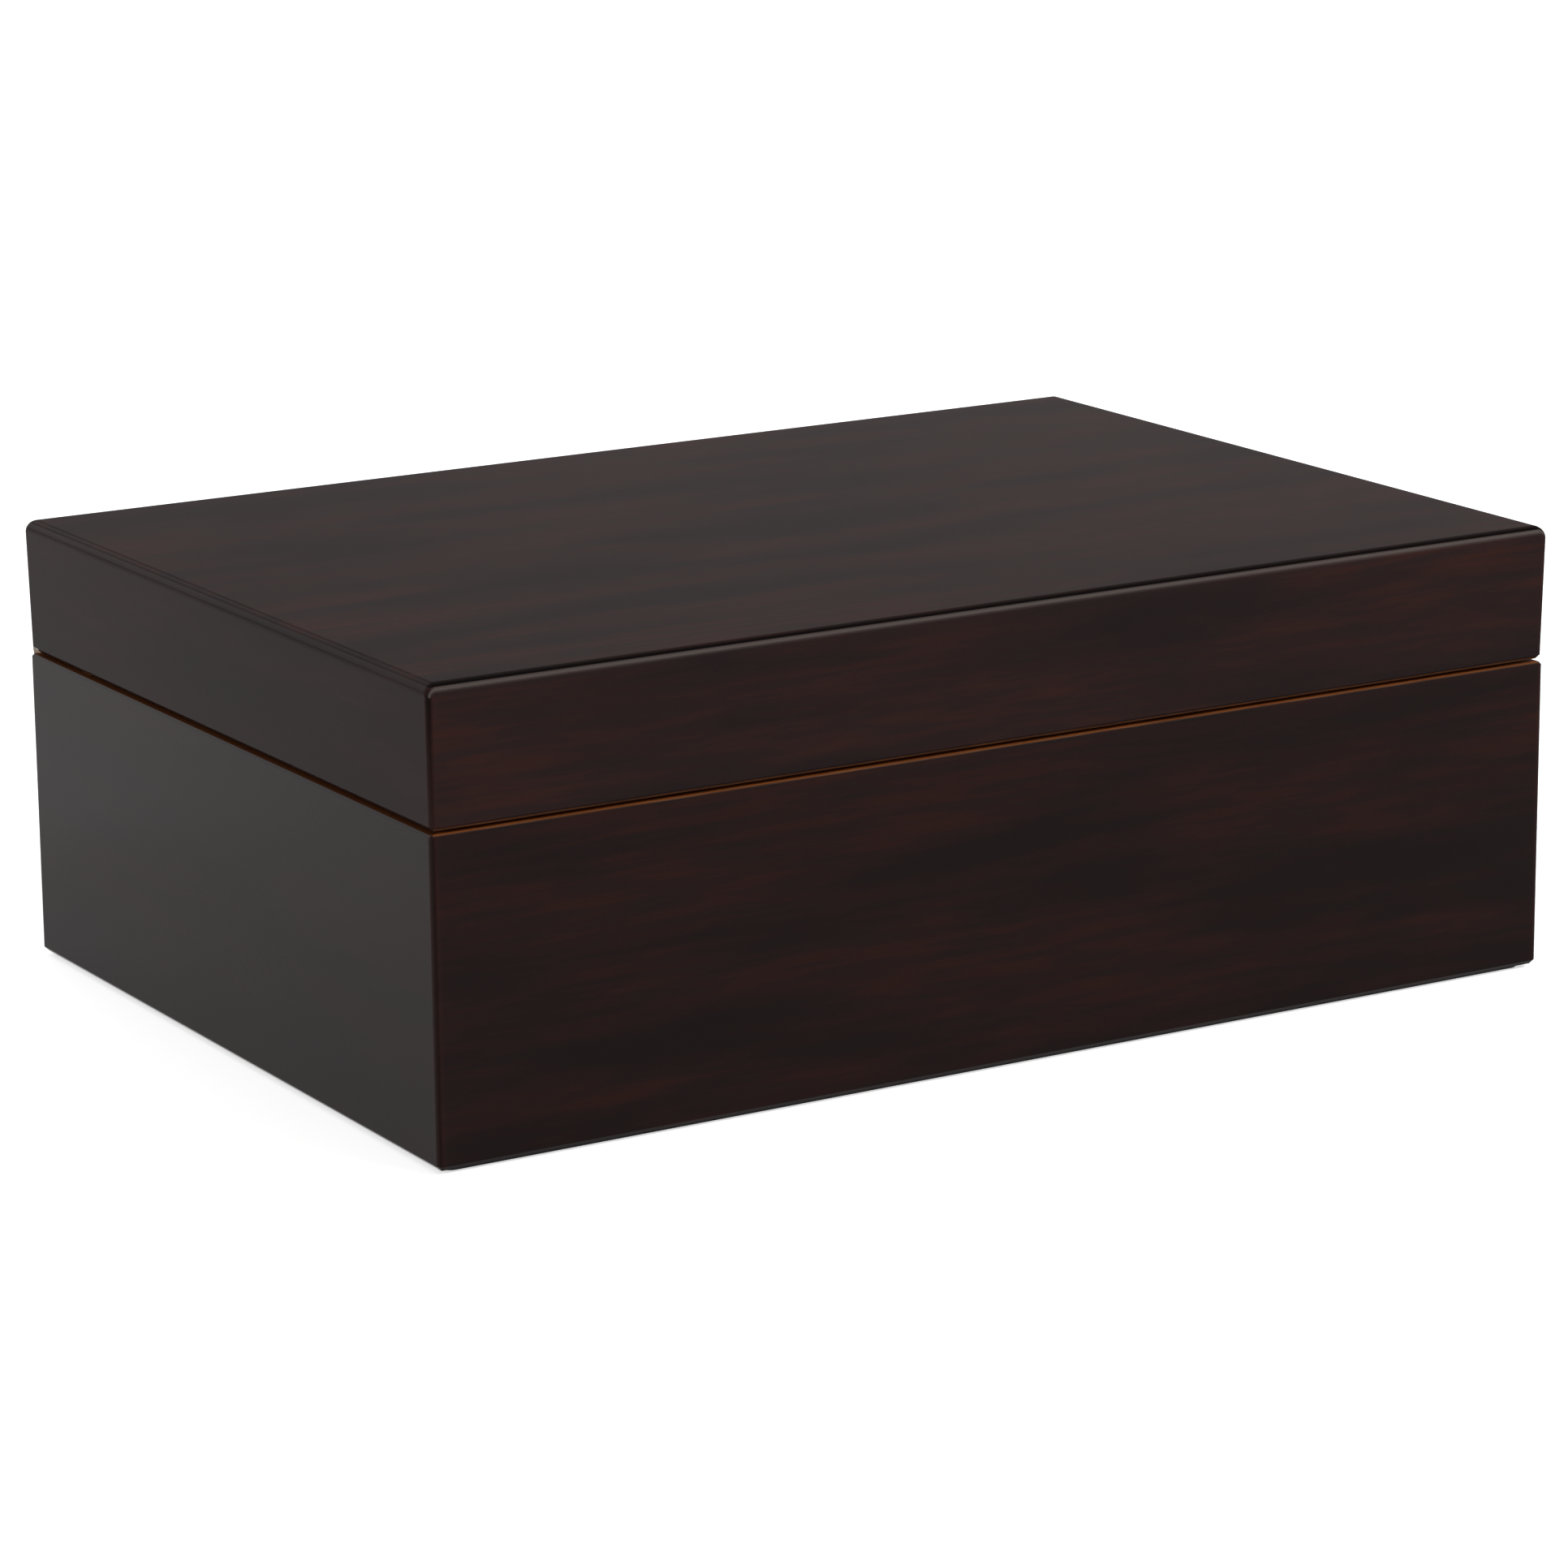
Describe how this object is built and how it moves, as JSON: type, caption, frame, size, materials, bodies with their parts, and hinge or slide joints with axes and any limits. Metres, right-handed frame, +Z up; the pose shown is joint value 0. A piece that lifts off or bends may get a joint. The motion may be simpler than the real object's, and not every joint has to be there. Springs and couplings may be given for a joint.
{
  "type": "desktop humidor",
  "caption": "Low lacquered wooden box with a hinged lid, cedar lining that seals it, lift-out tray, sliding dividers, humidifier and hygrometer for keeping cigars on a desk.",
  "frame": {"origin": "centre of the felt face that the box rests on", "axes": "+X to the right along the front, +Y to the hinged back, +Z up"},
  "size_m": [0.3304, 0.2337, 0.12],
  "materials": {
    "lacquered_wood": "satin dark mahogany lacquer",
    "cedar": "raw planed cedar",
    "brass": "brushed",
    "felt": "black felt",
    "black_plastic": "fine matte",
    "foam": "open cell foam",
    "lens": "clear",
    "dial": "printed cream dial",
    "needle": "black paint",
    "steel": "plain steel"
  },
  "bodies": {
    "base": {"felt_pad": "felt", "base_bottom": "lacquered_wood", "base_front": "lacquered_wood", "base_back": "lacquered_wood", "base_left": "lacquered_wood", "base_right": "lacquered_wood", "lining_bottom": "cedar", "lining_front": "cedar", "lining_back": "cedar", "lining_left": "cedar", "lining_right": "cedar", "tray_ledge_left": "cedar", "tray_ledge_right": "cedar", "hinge_base_leaf_left": "brass", "hinge_base_leaf_right": "brass", "hinge_pin_left": "brass", "hinge_pin_right": "brass", "hinge_base_screws": "brass"},
    "lid": {"lid_top": "lacquered_wood", "lid_front": "lacquered_wood", "lid_back": "lacquered_wood", "lid_left": "lacquered_wood", "lid_right": "lacquered_wood", "lid_lining_top": "cedar", "lid_lining_front": "cedar", "lid_lining_back": "cedar", "lid_lining_left": "cedar", "lid_lining_right": "cedar", "hinge_lid_leaf_left": "brass", "hinge_lid_leaf_right": "brass", "hinge_lid_screws": "brass", "hygrometer_case": "brass", "hygrometer_dial": "dial", "hygrometer_shaft": "steel", "hygrometer_lens": "lens", "hygrometer_bezel": "brass", "humidifier_plates": "steel"},
    "left_arm": {"hinge_arm_left": "brass"},
    "right_arm": {"hinge_arm_right": "brass"},
    "needle": {"hygrometer_needle": "needle"},
    "humidifier": {"humidifier_case": "black_plastic", "humidifier_grille": "black_plastic", "humidifier_foam": "foam", "humidifier_magnets": "steel"},
    "tray": {"tray_front": "cedar", "tray_back": "cedar", "tray_left": "cedar", "tray_right": "cedar", "tray_bottom": "cedar"},
    "tray_divider": {"tray_divider": "cedar"},
    "base_divider": {"base_divider": "cedar"}
  },
  "joints": [
    {"name": "lid_hinge", "type": "hinge", "parent": "base", "child": "lid", "pos_m": [0, 0.116, 0.08395], "axis": [-1, 0, 0], "range_deg": [0, 95]},
    {"name": "left_arm_turn", "type": "hinge", "parent": "base", "child": "left_arm", "pos_m": [-0.159, 0.116, 0.08395], "axis": [-1, 0, 0], "range_deg": [0, 47.5]},
    {"name": "right_arm_turn", "type": "hinge", "parent": "base", "child": "right_arm", "pos_m": [0.159, 0.116, 0.08395], "axis": [-1, 0, 0], "range_deg": [0, 47.5]},
    {"name": "needle_turn", "type": "hinge", "parent": "lid", "child": "needle", "pos_m": [-0.0924, 0, 0.1082], "axis": [0, 0, 1], "range_deg": [-183.6, 86.4]},
    {"name": "humidifier_pull", "type": "slide", "parent": "lid", "child": "humidifier", "axis": [0, 0, -1], "range_m": [0, 0.01]},
    {"name": "tray_lift", "type": "slide", "parent": "base", "child": "tray", "axis": [0, 0, 1], "range_m": [0, 0.01]},
    {"name": "tray_divider_slide", "type": "slide", "parent": "tray", "child": "tray_divider", "axis": [1, 0, 0], "range_m": [-0.0796, 0.1984]},
    {"name": "base_divider_slide", "type": "slide", "parent": "base", "child": "base_divider", "axis": [1, 0, 0], "range_m": [-0.1852, 0.0928]}
  ],
  "couplings": [
    {"joint": "left_arm_turn", "follows": "lid_hinge", "ratio": 0.5},
    {"joint": "right_arm_turn", "follows": "lid_hinge", "ratio": 0.5}
  ]
}
